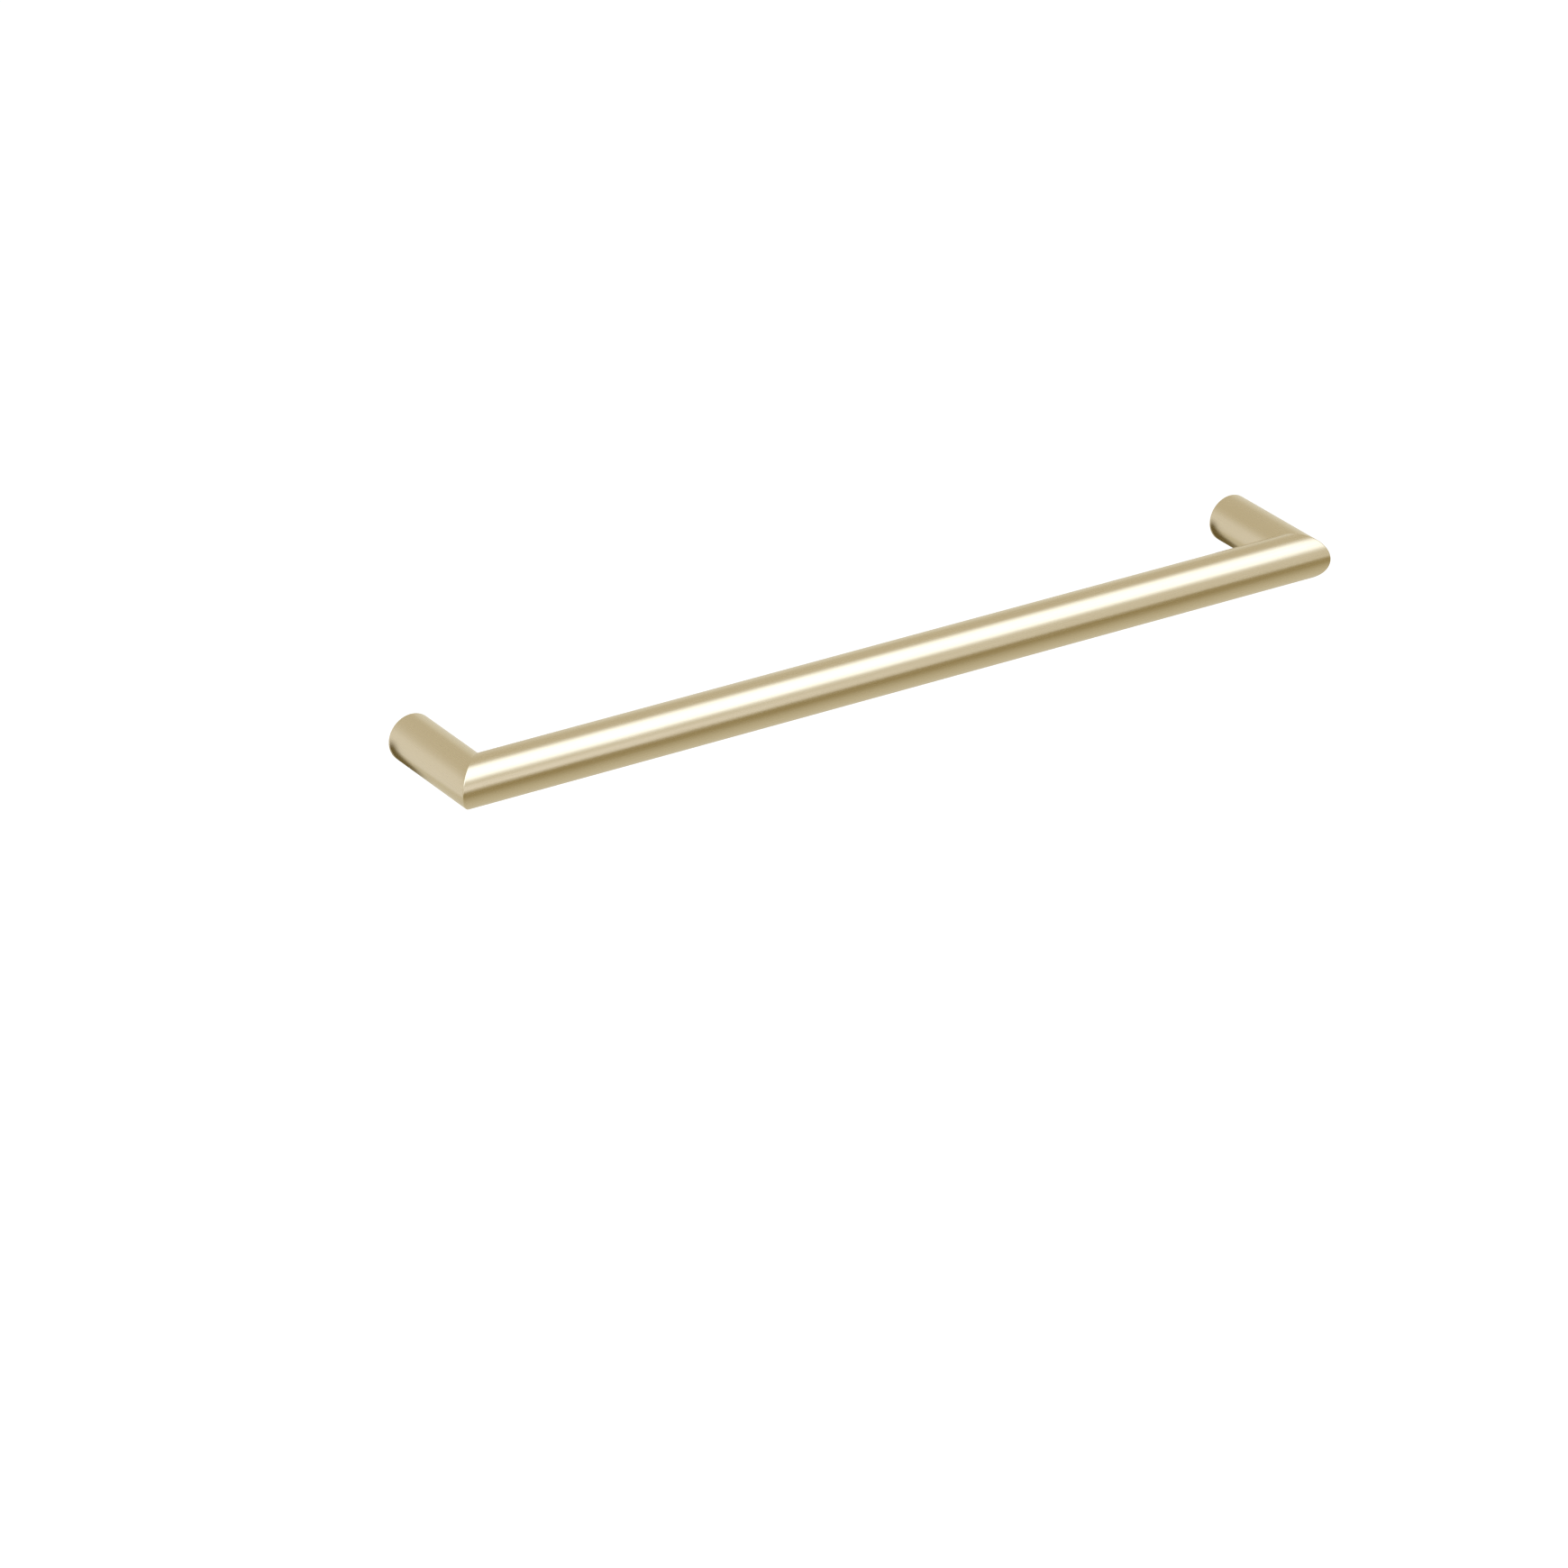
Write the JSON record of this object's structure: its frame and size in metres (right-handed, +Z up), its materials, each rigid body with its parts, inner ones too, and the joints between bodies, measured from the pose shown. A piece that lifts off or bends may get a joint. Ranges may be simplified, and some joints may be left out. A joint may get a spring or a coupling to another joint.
{
  "type": "heated towel rail",
  "caption": "Electric heated towel rail: a round gold bar with mitred wall posts, which lock over screwed-on wall spigots by set screws, and a heating cable inside.",
  "frame": {"origin": "on the wall plane, midway between the four wall screw holes, at the height of the rail's axis", "axes": "+X along the rail, to the right as seen from the room; +Y into the wall; +Z up"},
  "size_m": [0.65, 0.09, 0.032],
  "materials": {
    "gold_tube": "satin",
    "bush_steel": "satin",
    "spigot_brass": "satin",
    "screw_steel": "satin",
    "black_rubber": "matte",
    "silicone_cable": "satin",
    "tinned_crimp": "satin",
    "fuse_case": "satin",
    "glass_sleeve": "matte"
  },
  "bodies": {
    "root": {"rail_tube": "gold_tube", "left_post_tube": "gold_tube", "right_post_tube": "gold_tube", "left_post_bush": "bush_steel", "right_post_bush": "bush_steel", "left_wall_spigot": "spigot_brass", "right_wall_spigot": "spigot_brass", "left_set_screw": "screw_steel", "right_set_screw": "screw_steel", "cable_grommet": "black_rubber", "blanking_plug": "black_rubber", "heating_cable": "silicone_cable", "supply_crimp": "tinned_crimp", "fuse_crimp": "tinned_crimp", "return_crimp": "tinned_crimp", "thermal_fuse": "fuse_case", "fuse_sleeve": "glass_sleeve", "return_sleeve": "glass_sleeve"}
  },
  "joints": []
}
